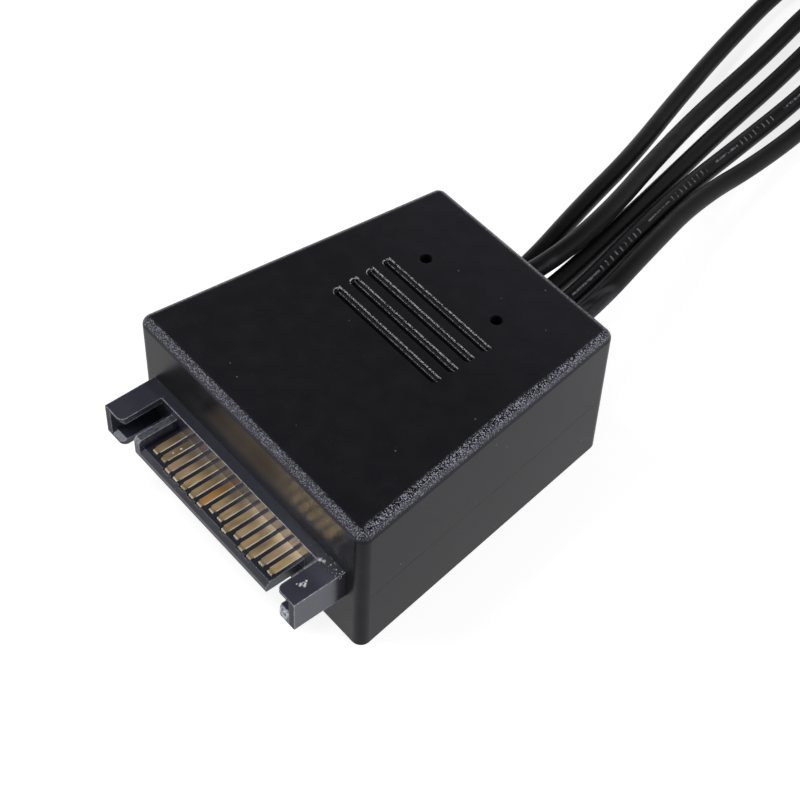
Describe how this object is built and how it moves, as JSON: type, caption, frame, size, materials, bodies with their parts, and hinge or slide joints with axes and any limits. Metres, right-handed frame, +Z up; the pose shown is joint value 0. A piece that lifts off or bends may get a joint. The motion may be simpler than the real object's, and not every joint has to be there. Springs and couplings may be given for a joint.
{
  "type": "sata power adapter cable",
  "caption": "Black moulded adapter housing with a keyed blade-contact power plug on one end and a short lead of round black wires that ends in a matching slotted receptacle.",
  "frame": {"origin": "bottom centre of the housing and plug together, on the surface that the housing rests on", "axes": "+Z up, the plug mates towards -Y, the wires leave towards +Y, +X across the contacts from the keyed end"},
  "size_m": [0.0484, 0.15, 0.017],
  "materials": {
    "moulded_housing": "fine matte texture",
    "plug_plastic": "glossy moulded",
    "gold_contact": "thin gold plate",
    "wire_jacket": "satin vinyl",
    "tinned_strands": "tinned copper and solder",
    "receptacle_plastic": "satin moulded",
    "terminal_brass": "stamped, plated"
  },
  "bodies": {
    "root": {"housing": "moulded_housing", "plug_insulator": "plug_plastic", "receptacle_housing": "receptacle_plastic", "receptacle_cover": "receptacle_plastic", "wire_1": "wire_jacket", "wire_2": "wire_jacket", "wire_3": "wire_jacket", "wire_4": "wire_jacket", "wire_5": "wire_jacket", "soldered_strands_1": "tinned_strands", "soldered_strands_2": "tinned_strands", "soldered_strands_3": "tinned_strands", "soldered_strands_4": "tinned_strands", "soldered_strands_5": "tinned_strands", "plug_contact_01": "gold_contact", "plug_contact_02": "gold_contact", "plug_contact_03": "gold_contact", "plug_contact_04": "gold_contact", "plug_contact_05": "gold_contact", "plug_contact_06": "gold_contact", "plug_contact_07": "gold_contact", "plug_contact_08": "gold_contact", "plug_contact_09": "gold_contact", "plug_contact_10": "gold_contact", "plug_contact_11": "gold_contact", "plug_contact_12": "gold_contact", "plug_contact_13": "gold_contact", "plug_contact_14": "gold_contact", "plug_contact_15": "gold_contact", "receptacle_terminal_1": "terminal_brass", "receptacle_terminal_2": "terminal_brass", "receptacle_terminal_3": "terminal_brass", "receptacle_terminal_4": "terminal_brass", "receptacle_terminal_5": "terminal_brass"}
  },
  "joints": []
}
